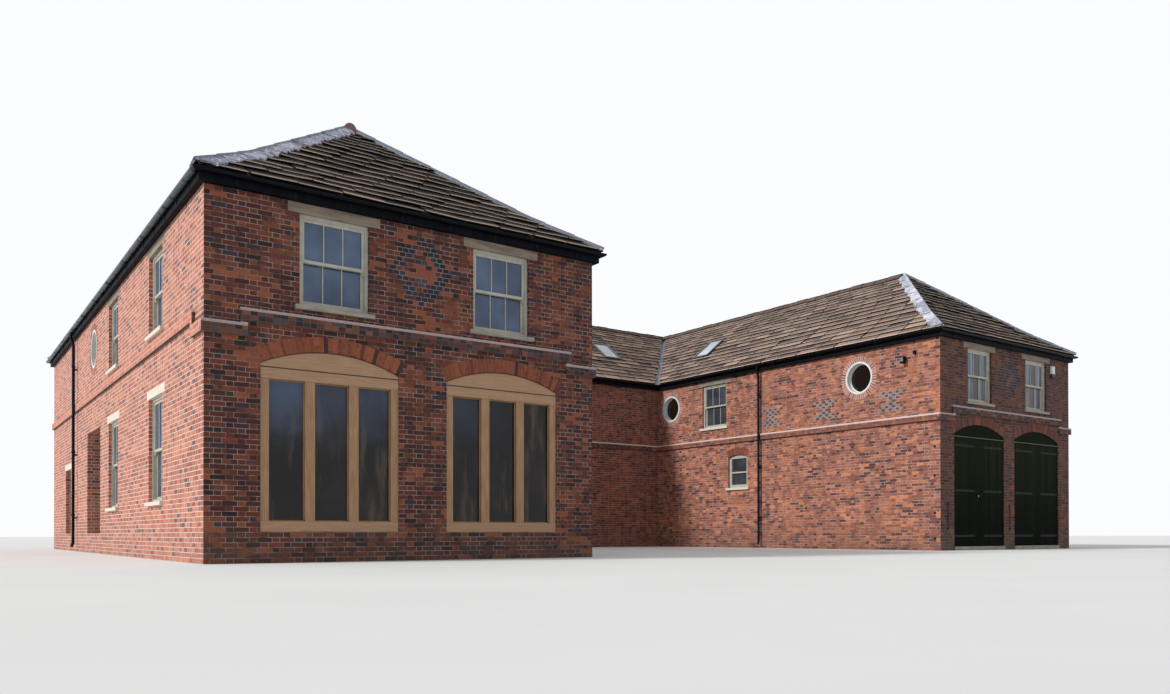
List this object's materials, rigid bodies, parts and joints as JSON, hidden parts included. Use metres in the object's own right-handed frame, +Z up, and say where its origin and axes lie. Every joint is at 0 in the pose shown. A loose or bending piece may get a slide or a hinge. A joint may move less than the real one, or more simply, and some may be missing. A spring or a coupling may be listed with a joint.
{
  "type": "coach house",
  "caption": "U-shaped brick coach house round an open court, with hipped stone-slate roofs, sash windows, arched oak screens and strap-hinged boarded coach doors.",
  "frame": {"origin": "on the ground at the middle of the plan's bounding box", "axes": "+X to the right along the front, +Y from the front to the back, +Z up"},
  "size_m": [25.984, 19.374, 8.82],
  "materials": {
    "brickwork": "matt brick",
    "arch_brickwork": "matt brick",
    "sandstone": "matt stone",
    "stone_slates": "matt stone",
    "lead": "dull metal sheet",
    "white_joinery": "painted",
    "oak": "oiled",
    "green_boards": "painted",
    "black_iron": "painted",
    "black_gutter": "painted",
    "black_boards": "painted",
    "window_glass": "clear",
    "floor_concrete": "trowelled",
    "floor_boards": "plain",
    "threshold_stone": "worn",
    "rooflight_frame": "painted",
    "lamp_casing": "moulded",
    "alarm_casing": "moulded"
  },
  "bodies": {
    "building": {"alarm_box": "alarm_casing", "back_range_court_slope": "stone_slates", "back_range_court_wall": "brickwork", "back_range_rear_slope": "stone_slates", "back_range_rear_wall": "brickwork", "back_range_window_frames": "white_joinery", "back_range_window_glass": "window_glass", "coach_door_frames": "green_boards", "coach_door_thresholds": "threshold_stone", "court_window_arches": "arch_brickwork", "downpipes": "black_gutter", "eaves_boards": "black_boards", "ground_floors": "floor_concrete", "gutters": "black_gutter", "lead_hips": "lead", "lead_valleys": "lead", "left_wing_arches": "arch_brickwork", "left_wing_court_slope": "stone_slates", "left_wing_court_wall": "brickwork", "left_wing_doorway_walls": "brickwork", "left_wing_front_wall": "brickwork", "left_wing_hip_slope": "stone_slates", "left_wing_outer_piers": "brickwork", "left_wing_outer_slope": "stone_slates", "left_wing_outer_wall": "brickwork", "left_wing_window_frames": "white_joinery", "left_wing_window_glass": "window_glass", "oak_screen_glass": "window_glass", "oak_screens": "oak", "oculus_rings": "arch_brickwork", "outside_light": "lamp_casing", "pintles": "black_iron", "ridge_stones": "stone_slates", "right_wing_arches": "arch_brickwork", "right_wing_court_slope": "stone_slates", "right_wing_court_wall": "brickwork", "right_wing_front_piers": "brickwork", "right_wing_front_upper_wall": "brickwork", "right_wing_hip_slope": "stone_slates", "right_wing_outer_slope": "stone_slates", "right_wing_outer_wall": "brickwork", "right_wing_window_frames": "white_joinery", "right_wing_window_glass": "window_glass", "rooflight_glass": "window_glass", "rooflights": "rooflight_frame", "stone_lintels": "sandstone", "stone_sills": "sandstone", "string_courses": "brickwork", "upper_floors": "floor_boards", "wall_irons": "black_iron"},
    "coach_door_1_left": {"coach_door_1_left_leaf": "green_boards", "coach_door_1_left_straps": "black_iron"},
    "coach_door_1_right": {"coach_door_1_right_leaf": "green_boards", "coach_door_1_right_straps": "black_iron"},
    "coach_door_2_left": {"coach_door_2_left_leaf": "green_boards", "coach_door_2_left_straps": "black_iron"},
    "coach_door_2_right": {"coach_door_2_right_leaf": "green_boards", "coach_door_2_right_straps": "black_iron"}
  },
  "joints": [
    {"name": "coach_door_1_left_swing", "type": "hinge", "parent": "building", "child": "coach_door_1_left", "pos_m": [6.683, -9.47, 1.64], "axis": [0, 0, -1], "range_deg": [0, 90]},
    {"name": "coach_door_1_right_swing", "type": "hinge", "parent": "building", "child": "coach_door_1_right", "pos_m": [9.117, -9.47, 1.64], "axis": [0, 0, 1], "range_deg": [0, 90]},
    {"name": "coach_door_2_left_swing", "type": "hinge", "parent": "building", "child": "coach_door_2_left", "pos_m": [9.693, -9.47, 1.64], "axis": [0, 0, -1], "range_deg": [0, 90]},
    {"name": "coach_door_2_right_swing", "type": "hinge", "parent": "building", "child": "coach_door_2_right", "pos_m": [12.127, -9.47, 1.64], "axis": [0, 0, 1], "range_deg": [0, 90]}
  ]
}
